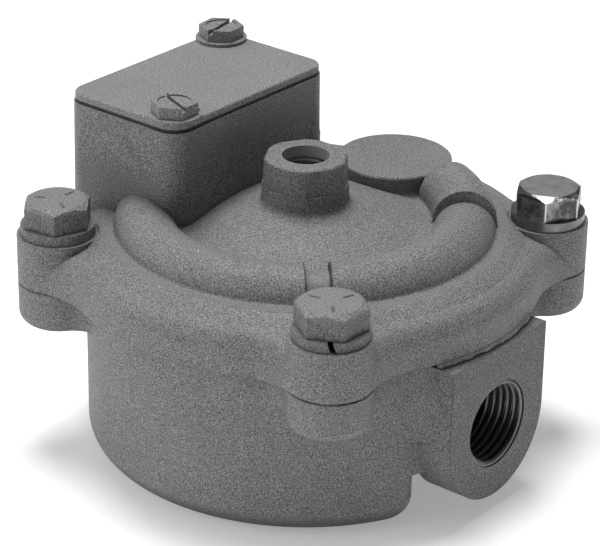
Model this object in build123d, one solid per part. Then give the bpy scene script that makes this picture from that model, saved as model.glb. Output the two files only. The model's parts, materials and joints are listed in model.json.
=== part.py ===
from build123d import *
import math
import os

# Automatic drain valve, in millimetres. The origin is the centre of the exhaust port's mouth in the
# sump's flat underside, on the valve axis. +Z is up through the control port, +X out of the inlet
# port, and the junction box stands over -X.

# ---------------------------------------------------------------- levels
SUMP_FLOOR = 6.5          # thickness of the sump's floor
PARTING_Z = 42.4          # joint between sump body and cover
SEAT_Z = 54.0             # spotfaced seats of the cover bolts
SHOULDER_Z = 54.8         # flat shoulder between flange edge and heater ring
INLET_AXIS_Z = 22.0
RUN = 0.05                # radial running clearance of the stem and piston
FACE_GAP = 0.3            # gap between faces that meet only when the valve is loaded
SEAM_EASE = 0.3           # small chamfer on both castings at their joint
TAP_RUNOUT = 0.5          # tapped holes are this much deeper than their screws
PLUG_FIT = 0.15           # radial clearance of pieces dropped into a pocket
OVERLAP = 1.0             # how far shapes that are joined or cut run into one another
NEAR = 0.01               # tolerance when edges and corners are picked

# ---------------------------------------------------------------- sump body
BOWL_R = 50.8
BOWL_WALL = 5.0
BOWL_EDGE = 7.5           # radius of the bowl's bottom edge
BOWL_TOP_WALL = 6.5
CAVITY_EDGE = 6.5         # radius of the bottom edge inside
ORING_WIDTH = 3.1
ORING_HEIGHT = 2.0
LUG_REACH = 6.12          # bolt circle's radius beyond the bowl's
LUG_R = 9.5
LUG_BOTTOM_Z = 32.0
LUG_BOTTOM_ROUND = 3.2
LUG_BLEND = 6.0
PORT_REACH = 5.7          # inlet port's face beyond the bowl's wall
PORT_HALF_WIDTH = 17.5
PORT_ROUND_DROP = 0.6     # the block's round underside is struck this far below the inlet's axis
PORT_TOP_Z = 41.2
PORT_BLEND = 5.0
RELIEF_R = 18.2           # relief in the bowl's foot below the inlet port
RELIEF_REACH = 1.7        # relief's axis beyond the bowl's wall
RELIEF_TOP_Z = 13.3
RELIEF_CORNER = 3.0
SEAM_TURN = 100.0         # turns the bowl's seam away from the relief

INLET_BORE_R = 10.4
INLET_BORE_DEPTH = 18.5
INLET_BOSS_WALL = 3.8
INLET_PASSAGE_R = 4.6
BRIDGE_R = 7.6
BRIDGE_Z = 25.5
BRIDGE_WEB = 5.0
WEB_GAP = 2.0             # between the tower and the bridge's web
EXHAUST_BORE_R = 7.35
EXHAUST_BOSS_R = 12.5
EXHAUST_BOSS_Z = 9.4

# ---------------------------------------------------------------- cover
FLANGE_OVERHANG = 4.6     # flange beyond the bowl's wall
FLANGE_BLEND = 22.0       # concave radius between flange and lugs
FLANGE_ROUND = 5.0
SHOULDER_SLOPE = 0.28     # fall of the cover's shoulder from the ring outwards
SPOTFACE_R = 9.2
SPOTFACE_REACH = 12.0     # the cutter clears the casting this far above the seat
CONE_APEX_Z = 63.46
CONE_SLOPE = 0.289
RING_INSET = 13.9         # heater ring's middle within the bowl's wall
RING_SECTION_R = 7.4
RING_Z = 53.7
RING_FOOT = 0.8
RING_MARGIN = 3.0         # floor drawn on both sides of the ring's section
RING_START = -152.0
RING_END = 37.0
LIP_RISE = 2.7            # raised end of the ring, next to the thermostat pad
LIP_END = 64.0
NOTCH_WIDTH = 5.6
NOTCH_DEPTH = 1.6
NOTCH_ANGLE = -46.5
NOTCH_SWEEP = 12.0        # half the sweep of the notch's round floor
PAD_X = -1.0
PAD_INSET = 15.7          # pad's middle within the bowl's wall
PAD_R = 13.75
PAD_Z = 60.1
PAD_EDGE = 0.6
PAD_FOOT = 1.5
BOSS_TOP_R = 9.65
BOSS_BASE_R = 10.2
BOSS_TOP_Z = 71.7
BOSS_FLATS = 18.6
BOSS_FLATS_Z = 65.1
BOSS_EDGE = 0.7
BOSS_FOOT = 1.5
CONTROL_BORE_R = 5.6
CONTROL_BORE_BOTTOM_Z = 59.7
PILOT_R = 2.2

CYLINDER_R = 20.0         # control cylinder
CYLINDER_TOP_Z = 54.8
CYLINDER_WALL = 4.5
CYLINDER_BOTTOM_Z = 38.6
RECESS_TOP_Z = 46.5
SPIGOT_DEPTH = 3.0
SPIGOT_WALL = 2.7
SPIGOT_FIT = 0.15
TUNNEL_R = 3.8

# ---------------------------------------------------------------- junction box
BOX_REACH = 1.6           # junction box's far wall beyond the bowl's
BOX_X1 = -17.75
BOX_Y0 = -24.5
BOX_Y1 = 30.0
BOX_TOP_Z = 81.1          # top face of the box's cover plate
BOX_CORNER = 5.0
BOX_DRAFT = 0.7           # degrees
BOX_WALL = 4.5
BOX_CONDUIT_WALL = 8.0
BOX_FLOOR_Z = 58.2
BOX_WELL_Z = 50.0
BOX_WELL_LENGTH = 23.9    # from the box's far wall to the end of its well
BOX_CAVITY_CORNER = 2.0
BOX_FOOT_Z = 44.0         # underside of the box where it overhangs the flange
WIRE_HOLE_R = 2.3         # passage for the thermostat's wires
WIRE_HOLE_Y = 20.0
WIRE_HOLE_Z = 52.0
PLATE_THICK = 1.6
PLATE_MARGIN = 0.3        # plate's edge within the box's wall
GASKET_THICK = 0.8
GASKET_MARGIN = 0.5
SCREW_INSET = 5.0
SCREW_BOSS_R = 5.2
CONDUIT_BORE_R = 9.15
CONDUIT_Y = 2.75
CONDUIT_Z = 66.5

# ---------------------------------------------------------------- fasteners
BOLT_FLATS = 14.29
BOLT_HEAD = 6.0
BOLT_TOP_R = 6.6          # flat top inside the head's chamfer
BOLT_CHAMFER = 33.0       # degrees
BOLT_R = 4.76
BOLT_LENGTH = 21.6
BOLT_CLEARANCE = 0.5
BOLT_POINT = 0.9
THREAD_FIT = 0.02
LOCK_OUTER_R = 8.6
LOCK_INNER_R = 5.0
LOCK_THICK = 2.4
LOCK_GAP = 1.2
LOCK_SLANT = 18.0
SCREW_FLATS = 9.53
SCREW_HEAD = 2.9
SCREW_DISH_R = 3.9
SCREW_DISH = 0.35
SCREW_SLOT_WIDTH = 1.2
SCREW_SLOT_DEPTH = 1.1
SCREW_R = 3.0
SCREW_LENGTH = 13.0
SCREW_LOCK_R = 6.25
SCREW_LOCK_INNER_R = 3.3
SCREW_LOCK_THICK = 0.8

# ---------------------------------------------------------------- valve works
STROKE = 3.0
STEM_R = 3.0
SPIGOT_R = 2.5            # reduced ends of the stem
EXHAUST_NOSE_Z = 10.0
SEAT_INNER_R = 5.0
SEAT_NOSE_R = 6.2
EXHAUST_SEAT_R = 9.0
SEAL_THICK = 2.0
HEAD_THICK = 2.0
HEAD_R = 8.0
STEM_SCREW_HEAD_R = 3.8
STEM_SCREW_HEAD = 2.6
STEM_SCREW_R = 1.5
STEM_SCREW_SLOT = 0.9
INLET_SEAT_R = 9.2
INLET_SEAT_HEIGHT = 3.2
INLET_NOSE = 1.0
INLET_SEAT_RIM = 1.5      # flat rim around the tapered nose
EXHAUST_TAPER = 0.8       # exhaust nose is this much wider at its foot
INLET_SEAL_INSET = 0.5    # seals within the valve head's edge
EXHAUST_SEAL_INSET = 0.8
TOWER_R = 13.0
TOWER_TOP_Z = 36.0
GUIDE_R = 6.6
GUIDE_LENGTH = 8.0
GUIDE_GROOVE_R = 4.6
GUIDE_GROOVE_HEIGHT = 2.2
PISTON_Z = 44.0
PISTON_THICK = 6.0
PISTON_GROOVE_DEPTH = 2.6
PISTON_GROOVE_HEIGHT = 2.6
PISTON_WASHER_R = 6.5
PISTON_WASHER_THICK = 1.0
PISTON_NUT_FLATS = 8.0
PISTON_NUT_HEIGHT = 3.0
SPRING_WIRE_R = 0.8
SPRING_R = 9.2
SPRING_TURNS = 3

# ---------------------------------------------------------------- heater and electrical pieces
HEATER_R = 3.5
HEATER_DROP = 1.0         # heater's middle below the ring's
HEATER_START = -158.0
HEATER_END = 31.0
HEATER_RUNOUT = 1.0       # degrees of bore beyond the heater's end
THERMOSTAT_R = 8.6
THERMOSTAT_HEIGHT = 7.0
THERMOSTAT_POCKET_Z = 56.2
RETAINER_THICK = 1.2
TERMINAL_LENGTH = 22.0
TERMINAL_WIDTH = 12.0
TERMINAL_HEIGHT = 9.0
TERMINAL_PITCH = 10.0
TERMINAL_INSET = 16.4     # block's middle within the box's far wall
TERMINAL_Y = 8.0
TERMINAL_BASE = 5.4       # height of the terminal block's floor
TERMINAL_BARRIER = 1.6
TERMINAL_SCREW_R = 2.6
TERMINAL_SCREW_HEAD = 1.8
GROUND_SCREW_Y = -7.0
GROUND_SCREW_R = 3.2
SMALL_SCREW_LENGTH = 3.0

# ---------------------------------------------------------------- worked-out values
LUG_OFFSET = (BOWL_R + LUG_REACH) / math.sqrt(2)
FLANGE_R = BOWL_R + FLANGE_OVERHANG
PORT_FACE_X = BOWL_R + PORT_REACH
RELIEF_X = BOWL_R + RELIEF_REACH
RING_R = BOWL_R - RING_INSET
PAD_Y = BOWL_R - PAD_INSET
BOX_X0 = -(BOWL_R + BOX_REACH)
BOX_WELL_X = BOX_X0 + BOX_WELL_LENGTH
TERMINAL_X = BOX_X0 + TERMINAL_INSET
LUGS = [(LUG_OFFSET, -LUG_OFFSET), (-LUG_OFFSET, -LUG_OFFSET), (-LUG_OFFSET, LUG_OFFSET),
        (LUG_OFFSET, LUG_OFFSET)]
PLATED_LUG = LUGS[3]
PAINTED_LUGS = LUGS[:3]
HEAD_TURNS = {LUGS[0]: 28.6, LUGS[1]: 8.6, LUGS[2]: 9.1, LUGS[3]: 59.0}
GAP_TURNS = {LUGS[0]: -50.0, LUGS[1]: 75.0, LUGS[2]: 160.0, LUGS[3]: 120.0}
BOWL_TOP_R = BOWL_R - BOWL_TOP_WALL
CONE_FOOT_R = (CONE_APEX_Z - SHOULDER_Z) / CONE_SLOPE
BOX_WALL_TOP_Z = BOX_TOP_Z - PLATE_THICK - GASKET_THICK
BOX_CENTRE_X = (BOX_X0 + BOX_X1) / 2
BOX_CENTRE_Y = (BOX_Y0 + BOX_Y1) / 2
BOX_LENGTH_X = BOX_X1 - BOX_X0
BOX_LENGTH_Y = BOX_Y1 - BOX_Y0
PLATE_SCREWS = [(BOX_X1 - SCREW_INSET, BOX_Y0 + SCREW_INSET),
                (BOX_X0 + SCREW_INSET, BOX_Y1 - SCREW_INSET)]
SLOT_TURNS = [-22.6, 99.9]
SCREW_HEAD_TURNS = [32.0, 35.5]
SCREW_GAP_TURNS = [60.0, 160.0]
UNDER_HEAD_Z = SEAT_Z + LOCK_THICK
HEATER_Z = RING_Z - HEATER_DROP
PISTON_GROOVE_R = CYLINDER_R - PISTON_GROOVE_DEPTH
PISTON_GROOVE_Z = PISTON_Z + (PISTON_THICK - PISTON_GROOVE_HEIGHT) / 2
EXHAUST_SEAL_Z = EXHAUST_NOSE_Z + FACE_GAP + STROKE
VALVE_HEAD_Z = EXHAUST_SEAL_Z + SEAL_THICK
INLET_SEAL_Z = VALVE_HEAD_Z + HEAD_THICK
STEM_SHOULDER_Z = INLET_SEAL_Z + SEAL_THICK
INLET_NOSE_Z = STEM_SHOULDER_Z + FACE_GAP
TOWER_BOTTOM_Z = INLET_NOSE_Z + INLET_NOSE
GUIDE_BOTTOM_Z = TOWER_TOP_Z - GUIDE_LENGTH
PISTON_TOP_Z = PISTON_Z + PISTON_THICK
NUT_TOP_Z = PISTON_TOP_Z + PISTON_WASHER_THICK + PISTON_NUT_HEIGHT
ORING_SEAT_Z = PARTING_Z - ORING_HEIGHT
ORING_OUTER_R = BOWL_TOP_R + ORING_WIDTH


def tube(outer_r, inner_r, low_z, high_z, x=0.0, y=0.0):
    """An upright ring between two levels."""
    height = high_z - low_z
    place = Pos(x, y, low_z)
    base = (Align.CENTER, Align.CENTER, Align.MIN)
    return place * Cylinder(outer_r, height, align=base) - place * Cylinder(inner_r, height, align=base)


def post(radius, low_z, high_z, x=0.0, y=0.0):
    """An upright round bar between two levels."""
    base = (Align.CENTER, Align.CENTER, Align.MIN)
    return Pos(x, y, low_z) * Cylinder(radius, high_z - low_z, align=base)


def bar_x(radius, low_x, high_x, y=0.0, z=0.0):
    """A round bar along X."""
    return Pos((low_x + high_x) / 2, y, z) * Rot(0, 90, 0) * Cylinder(radius, high_x - low_x)


def block(low, high):
    """A box between two corners."""
    size = [high[i] - low[i] for i in range(3)]
    middle = [(high[i] + low[i]) / 2 for i in range(3)]
    return Pos(*middle) * Box(*size)


def spun(points, start=0.0, arc=360.0):
    """A closed half-section of (radius, z) points, turned about the valve axis."""
    return spun_face(make_face(Polyline(*points, close=True)), start, arc)


def spun_face(face, start=0.0, arc=360.0):
    """A face drawn in (radius, z), turned about the valve axis from start by arc degrees."""
    return Rot(0, 0, start) * revolve(Plane.XZ * face, Axis.Z, revolution_arc=arc)


def edges_at(solid, z):
    """All edges that lie flat at one level."""
    return solid.edges().filter_by_position(Axis.Z, z - NEAR, z + NEAR)


def hex_prism(flats, low_z, high_z, x, y, turn):
    """A hexagonal bar; turn is the direction of its first corner."""
    outline = RegularPolygon(flats / 2, 6, major_radius=False, rotation=30)
    return Pos(x, y, low_z) * Rot(0, 0, turn) * extrude(Rot(0, 0, 30) * outline, high_z - low_z)


def cone_z(radius):
    """Level of the cover's conical floor."""
    return CONE_APEX_Z - CONE_SLOPE * radius


def shoulder_z(radius):
    """Level of the cover's sloping shoulder outside the heater ring."""
    return SHOULDER_Z - SHOULDER_SLOPE * (radius - RING_R - RING_SECTION_R)


# ---------------------------------------------------------------- sump body
def lug_outline(body_r, blend):
    """A round plate with four ears, blended by concave arcs."""
    outline = Sketch() + Circle(body_r) + [Pos(x, y) * Circle(LUG_R) for x, y in LUGS]
    corners = [v for v in outline.vertices() if abs(math.hypot(v.X, v.Y) - body_r) < NEAR
               and min(math.hypot(v.X - x, v.Y - y) for x, y in LUGS) < LUG_R + NEAR]
    return fillet(corners, blend)


def relieved_bowl(radius, relief_r, low_z, relief_top_z, top_z, edge):
    """A round bowl whose foot has the relief bitten out below the inlet port, all edges rounded."""
    bowl = Rot(0, 0, SEAM_TURN) * post(radius, low_z, top_z)
    bowl = bowl - post(relief_r, low_z, relief_top_z, RELIEF_X)
    corners = [e for e in bowl.edges().filter_by(Axis.Z) if e.center().X > RELIEF_X - relief_r]
    bowl = fillet(corners, RELIEF_CORNER)
    return fillet(edges_at(bowl, low_z), edge)


def make_bowl():
    """The bowl's outside: relieved foot, round wall and four bolt lugs."""
    wall = relieved_bowl(BOWL_R, RELIEF_R, 0, RELIEF_TOP_Z, PARTING_Z, BOWL_EDGE)
    ears = Pos(0, 0, LUG_BOTTOM_Z) * extrude(lug_outline(BOWL_R, LUG_BLEND), PARTING_Z - LUG_BOTTOM_Z)
    ears = fillet(edges_at(ears, LUG_BOTTOM_Z), LUG_BOTTOM_ROUND)
    bowl = wall + ears
    return chamfer(edges_at(bowl, PARTING_Z), SEAM_EASE)


def make_port_block():
    """The inlet port's block: flat top and sides, half-round below."""
    round_z = INLET_AXIS_Z - PORT_ROUND_DROP
    side = PORT_TOP_Z - round_z
    section = Circle(PORT_HALF_WIDTH) + Pos(0, side / 2) * Rectangle(2 * PORT_HALF_WIDTH, side)
    start_x = BOWL_R - BOWL_WALL
    plane = Plane(origin=(start_x, 0, round_z), x_dir=(0, 1, 0), z_dir=(1, 0, 0))
    return extrude(plane * section, PORT_FACE_X - start_x)


def make_port_web():
    """The flare where the port block's sides run into the round bowl."""
    block_outline = Pos(PORT_FACE_X / 2, 0) * Rectangle(PORT_FACE_X, 2 * PORT_HALF_WIDTH)
    outline = Sketch() + Circle(BOWL_R) + block_outline
    corners = [v for v in outline.vertices() if abs(math.hypot(v.X, v.Y) - BOWL_R) < NEAR
               and abs(abs(v.Y) - PORT_HALF_WIDTH) < NEAR]
    outline = fillet(corners, PORT_BLEND)
    return extrude(Pos(0, 0, INLET_AXIS_Z) * outline, PORT_TOP_Z - INLET_AXIS_Z)


def make_sump_cavity():
    """The sump's inside, a wall's thickness within the bowl."""
    change_z = RELIEF_TOP_Z + BOWL_WALL
    inner_r = BOWL_R - BOWL_WALL
    low = relieved_bowl(inner_r, RELIEF_R + BOWL_WALL, SUMP_FLOOR, change_z, change_z, CAVITY_EDGE)
    return low + post(BOWL_TOP_R, change_z, PARTING_Z)


def make_sump_body():
    """Casting with the sump, the inlet passage, the valve tower and the exhaust boss."""
    boss_start_x = PORT_FACE_X - INLET_BORE_DEPTH - INLET_BOSS_WALL
    boss_r = INLET_BORE_R + INLET_BOSS_WALL
    inside = [
        bar_x(boss_r, boss_start_x, BOWL_R, z=INLET_AXIS_Z),
        bar_x(BRIDGE_R, TOWER_R - 2 * OVERLAP, boss_start_x + OVERLAP, z=BRIDGE_Z),
        post(TOWER_R, TOWER_BOTTOM_Z, TOWER_TOP_Z),
        block((TOWER_R + WEB_GAP, -BRIDGE_WEB / 2, SUMP_FLOOR - OVERLAP),
              (BOWL_R - BOWL_WALL - RELIEF_R, BRIDGE_WEB / 2, INLET_AXIS_Z)),
        post(EXHAUST_BOSS_R, SUMP_FLOOR - OVERLAP, EXHAUST_BOSS_Z),
    ]
    body = make_bowl() + make_port_block() + make_port_web() - make_sump_cavity()
    body = body + inside
    cuts = [
        bar_x(INLET_BORE_R, PORT_FACE_X - INLET_BORE_DEPTH, PORT_FACE_X, z=INLET_AXIS_Z),
        bar_x(INLET_PASSAGE_R, 0, PORT_FACE_X - INLET_BORE_DEPTH, z=BRIDGE_Z),
        post(INLET_SEAT_R, TOWER_BOTTOM_Z, TOWER_BOTTOM_Z + INLET_SEAT_HEIGHT - INLET_NOSE),
        post(GUIDE_R, TOWER_BOTTOM_Z, TOWER_TOP_Z),
        post(EXHAUST_BORE_R, 0, SUMP_FLOOR),
        post(EXHAUST_SEAT_R, SUMP_FLOOR, EXHAUST_BOSS_Z),
        post(ORING_OUTER_R, ORING_SEAT_Z, PARTING_Z),
    ]
    hole_bottom = UNDER_HEAD_Z - BOLT_LENGTH - TAP_RUNOUT
    cuts += [post(BOLT_R + THREAD_FIT, hole_bottom, PARTING_Z, x, y) for x, y in LUGS]
    return body - cuts


# ---------------------------------------------------------------- cover
def ring_section(top_z):
    """Half-section of the heater ring up to top_z, both feet blended into the cover's floor."""
    middle_z = top_z - RING_SECTION_R
    inner_r = RING_R - RING_SECTION_R - RING_MARGIN
    outer_r = RING_R + RING_SECTION_R + RING_MARGIN
    floor = make_face(Polyline((inner_r, RECESS_TOP_Z), (outer_r, RECESS_TOP_Z), (outer_r, SHOULDER_Z),
                               (RING_R, SHOULDER_Z), (inner_r, cone_z(inner_r)), close=True))
    web_height = middle_z - RECESS_TOP_Z
    web = Pos(RING_R, RECESS_TOP_Z + web_height / 2) * Rectangle(2 * RING_SECTION_R, web_height)
    section = floor + Pos(RING_R, middle_z) * Circle(RING_SECTION_R) + web
    feet = [v for v in section.vertices() if abs(v.X - RING_R) < RING_SECTION_R + NEAR
            and v.Y > SHOULDER_Z - NEAR and abs(v.Y - middle_z) > NEAR]
    return fillet(feet, RING_FOOT)


def make_boss():
    """The cover's conical floor and the control port's drafted boss, flatted for a wrench."""
    foot_z = cone_z(BOSS_BASE_R)
    profile = make_face(Polyline((0, SHOULDER_Z), (CONE_FOOT_R, SHOULDER_Z), (BOSS_BASE_R, foot_z),
                                 (BOSS_TOP_R, BOSS_TOP_Z), (0, BOSS_TOP_Z), close=True))
    foot = [v for v in profile.vertices()
            if abs(v.X - BOSS_BASE_R) < NEAR and abs(v.Y - foot_z) < NEAR]
    boss = spun_face(fillet(foot, BOSS_FOOT))
    flats = post(BOSS_BASE_R + OVERLAP, BOSS_FLATS_Z, BOSS_TOP_Z)
    flats = flats - hex_prism(BOSS_FLATS, BOSS_FLATS_Z, BOSS_TOP_Z, 0, 0, 0)
    boss = boss - flats
    return fillet(edges_at(boss, BOSS_TOP_Z), BOSS_EDGE)


def make_pad():
    """The thermostat's raised round pad, its foot blended into the cover's shoulder."""
    low_z = PARTING_Z + OVERLAP
    foot_r = PAD_R + 2 * PAD_FOOT
    profile = make_face(Polyline((0, low_z), (foot_r, low_z), (foot_r, SHOULDER_Z),
                                 (PAD_R, SHOULDER_Z), (PAD_R, PAD_Z), (0, PAD_Z), close=True))
    foot = [v for v in profile.vertices()
            if abs(v.X - PAD_R) < NEAR and abs(v.Y - SHOULDER_Z) < NEAR]
    profile = fillet(foot, PAD_FOOT)
    rim = [v for v in profile.vertices()
           if abs(v.X - PAD_R) < NEAR and abs(v.Y - PAD_Z) < NEAR]
    return Pos(PAD_X, PAD_Y) * spun_face(fillet(rim, PAD_EDGE))


def box_outline(grow=0.0):
    """The junction box's outline, optionally grown all round."""
    return Pos(BOX_CENTRE_X, BOX_CENTRE_Y) * RectangleRounded(
        BOX_LENGTH_X + 2 * grow, BOX_LENGTH_Y + 2 * grow, BOX_CORNER + grow)


def make_box_walls():
    """The junction box's outside, slightly wider at its foot."""
    height = BOX_WALL_TOP_Z - BOX_FOOT_Z
    grow = height * math.tan(math.radians(BOX_DRAFT))
    return extrude(Pos(0, 0, BOX_FOOT_Z) * box_outline(grow), height, taper=BOX_DRAFT)


def make_box_cavity():
    """The wiring space, with a deeper well over the heater's end and two screw bosses left standing."""
    low_x = BOX_X0 + BOX_CONDUIT_WALL
    high_x = BOX_X1 - BOX_WALL
    low_y = BOX_Y0 + BOX_WALL
    high_y = BOX_Y1 - BOX_WALL
    space = block((low_x, low_y, BOX_FLOOR_Z), (high_x, high_y, BOX_WALL_TOP_Z))
    space = fillet(space.edges().filter_by(Axis.Z), BOX_CAVITY_CORNER)
    well = block((low_x, low_y, BOX_WELL_Z), (BOX_WELL_X, high_y, BOX_FLOOR_Z))
    well = fillet(well.edges().filter_by(Axis.Z), BOX_CAVITY_CORNER)
    space = space + well
    return space - [post(SCREW_BOSS_R, BOX_WELL_Z, BOX_WALL_TOP_Z, x, y) for x, y in PLATE_SCREWS]


def ring_tube(major_r, minor_r, z, start, end):
    """A round bar bent about the valve axis."""
    return spun_face(Pos(major_r, z) * Circle(minor_r), start, end - start)


def make_ring():
    """The heater ring with its raised end, and the notch cut across it."""
    top_z = RING_Z + RING_SECTION_R
    ring = spun_face(ring_section(top_z), RING_START, RING_END - RING_START)
    floor_r = RING_SECTION_R - NOTCH_DEPTH
    notch = block((RING_R - RING_SECTION_R, -NOTCH_WIDTH / 2, SHOULDER_Z + OVERLAP),
                  (RING_R + RING_SECTION_R, NOTCH_WIDTH / 2, top_z + OVERLAP))
    notch = Rot(0, 0, NOTCH_ANGLE) * notch
    notch = notch - ring_tube(RING_R, floor_r, RING_Z, NOTCH_ANGLE - NOTCH_SWEEP, NOTCH_ANGLE + NOTCH_SWEEP)
    lip = spun_face(ring_section(top_z + LIP_RISE), RING_END, LIP_END - RING_END)
    return ring - notch + lip


def make_flange():
    """The cover's round flange with four ears, its shoulder rounded and its seam edge eased."""
    outline = Pos(0, 0, PARTING_Z) * lug_outline(FLANGE_R, FLANGE_BLEND)
    flange = extrude(outline, SHOULDER_Z - PARTING_Z)
    shoulder_r = RING_R + RING_SECTION_R
    far_r = math.sqrt(2) * LUG_OFFSET + 2 * LUG_R
    flange = flange & spun([(0, PARTING_Z), (far_r, PARTING_Z), (far_r, shoulder_z(far_r)),
                            (shoulder_r, SHOULDER_Z), (0, SHOULDER_Z)])
    rim = [e for e in flange.edges() if (e @ 0.5).Z > PARTING_Z + FLANGE_ROUND / 2
           and abs((e @ 0).Z - (e @ 1).Z) < (SHOULDER_Z - PARTING_Z) / 2
           and math.hypot((e @ 0.5).X, (e @ 0.5).Y) > shoulder_r + OVERLAP]
    flange = fillet(rim, FLANGE_ROUND)
    return chamfer(edges_at(flange, PARTING_Z), SEAM_EASE)


def make_cover():
    """Casting with flange, heater ring, thermostat pad, control boss, cylinder and junction box."""
    lugs = [post(LUG_R, PARTING_Z + OVERLAP, SEAT_Z, x, y) for x, y in LUGS]
    skirt = post(CYLINDER_R + CYLINDER_WALL, CYLINDER_BOTTOM_Z, PARTING_Z + OVERLAP)
    spigot_r = BOWL_TOP_R - SPIGOT_FIT
    spigot = tube(spigot_r, spigot_r - SPIGOT_WALL, PARTING_Z - SPIGOT_DEPTH, PARTING_Z + OVERLAP)
    cover = make_flange() + [make_boss(), make_ring(), make_pad(), make_box_walls(), skirt, spigot] + lugs
    cuts = [
        make_box_cavity(),
        post(CYLINDER_R, CYLINDER_BOTTOM_Z, CYLINDER_TOP_Z),
        tube(spigot_r - SPIGOT_WALL, CYLINDER_R + CYLINDER_WALL, PARTING_Z, RECESS_TOP_Z),
        ring_tube(RING_R, TUNNEL_R, HEATER_Z, HEATER_START, HEATER_END + HEATER_RUNOUT),
        post(PILOT_R, CYLINDER_TOP_Z, CONTROL_BORE_BOTTOM_Z),
        post(CONTROL_BORE_R, CONTROL_BORE_BOTTOM_Z, BOSS_TOP_Z),
        post(THERMOSTAT_R + PLUG_FIT, RECESS_TOP_Z, THERMOSTAT_POCKET_Z, PAD_X, PAD_Y),
        bar_x(CONDUIT_BORE_R, BOX_X0 - 3 * OVERLAP, BOX_X0 + BOX_CONDUIT_WALL, CONDUIT_Y, CONDUIT_Z),
        bar_x(WIRE_HOLE_R, BOX_X1 - BOX_WALL - OVERLAP, PAD_X - THERMOSTAT_R + OVERLAP,
              WIRE_HOLE_Y, WIRE_HOLE_Z),
    ]
    cuts += [post(BOLT_R + BOLT_CLEARANCE, PARTING_Z, SEAT_Z, x, y) for x, y in LUGS]
    cuts += [post(SPOTFACE_R, SEAT_Z, SEAT_Z + SPOTFACE_REACH, x, y) for x, y in LUGS]
    screw_bottom = BOX_TOP_Z + SCREW_LOCK_THICK - SCREW_LENGTH - TAP_RUNOUT
    cuts += [post(SCREW_R + THREAD_FIT, screw_bottom, BOX_WALL_TOP_Z, x, y) for x, y in PLATE_SCREWS]
    cuts.append(post(GROUND_SCREW_R / 2 + THREAD_FIT, BOX_WELL_Z - SMALL_SCREW_LENGTH, BOX_WELL_Z,
                     TERMINAL_X, GROUND_SCREW_Y))
    return cover - cuts


# ---------------------------------------------------------------- fasteners
def make_bolt(x, y):
    """Hex cap screw with a chamfered head and a pointed thread end."""
    head_top = UNDER_HEAD_Z + BOLT_HEAD
    corner_r = BOLT_FLATS / math.sqrt(3)
    bevel = (corner_r - BOLT_TOP_R) * math.tan(math.radians(BOLT_CHAMFER))
    crown = Pos(x, y) * spun([(0, UNDER_HEAD_Z), (corner_r, UNDER_HEAD_Z), (corner_r, head_top - bevel),
                              (BOLT_TOP_R, head_top), (0, head_top)])
    head = hex_prism(BOLT_FLATS, UNDER_HEAD_Z, head_top, x, y, HEAD_TURNS[(x, y)]) & crown
    tip_z = UNDER_HEAD_Z - BOLT_LENGTH
    shank = Pos(x, y) * spun([(0, tip_z), (BOLT_R - BOLT_POINT, tip_z), (BOLT_R, tip_z + BOLT_POINT),
                              (BOLT_R, UNDER_HEAD_Z), (0, UNDER_HEAD_Z)])
    return head + shank


def make_lock_washer(outer_r, inner_r, thick, z, x, y, turn):
    """Split spring washer, cut through on a slant."""
    cut = Pos(x, y, z + thick / 2) * Rot(0, 0, turn) * Pos(outer_r, 0, 0) * Rot(LOCK_SLANT, 0, 0)
    washer = tube(outer_r, inner_r, z, z + thick, x, y)
    return washer - cut * Box(2 * outer_r - inner_r, LOCK_GAP, 3 * thick)


def make_plate_screw(x, y, head_turn, slot_turn):
    """Slotted hex-head machine screw with a dished top."""
    low_z = BOX_TOP_Z + SCREW_LOCK_THICK
    top_z = low_z + SCREW_HEAD
    head = hex_prism(SCREW_FLATS, low_z, top_z, x, y, head_turn)
    head = head - post(SCREW_DISH_R, top_z - SCREW_DISH, top_z, x, y)
    slot = Box(2 * SCREW_FLATS, SCREW_SLOT_WIDTH, 2 * SCREW_SLOT_DEPTH)
    head = head - Pos(x, y, top_z) * Rot(0, 0, slot_turn) * slot
    return head + post(SCREW_R, low_z - SCREW_LENGTH, low_z, x, y)


# ---------------------------------------------------------------- junction box pieces
def make_box_plate():
    """Flat cover plate with two screw holes and eased edges."""
    plate = extrude(Pos(0, 0, BOX_TOP_Z - PLATE_THICK) * box_outline(-PLATE_MARGIN), PLATE_THICK)
    plate = fillet(edges_at(plate, BOX_TOP_Z), PLATE_THICK / 3)
    low_z = BOX_TOP_Z - PLATE_THICK
    return plate - [post(SCREW_LOCK_INNER_R, low_z, BOX_TOP_Z, x, y) for x, y in PLATE_SCREWS]


def make_box_gasket():
    """Flat gasket, open over the wiring space."""
    sheet = extrude(Pos(0, 0, BOX_WALL_TOP_Z) * box_outline(-GASKET_MARGIN), GASKET_THICK)
    window = block((BOX_X0 + BOX_CONDUIT_WALL, BOX_Y0 + BOX_WALL, BOX_WALL_TOP_Z),
                   (BOX_X1 - BOX_WALL, BOX_Y1 - BOX_WALL, BOX_WALL_TOP_Z + GASKET_THICK))
    window = window - [post(SCREW_BOSS_R, BOX_WALL_TOP_Z, BOX_TOP_Z, x, y) for x, y in PLATE_SCREWS]
    holes = [post(SCREW_LOCK_INNER_R, BOX_WALL_TOP_Z, BOX_TOP_Z, x, y) for x, y in PLATE_SCREWS]
    return sheet - [window] - holes


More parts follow.
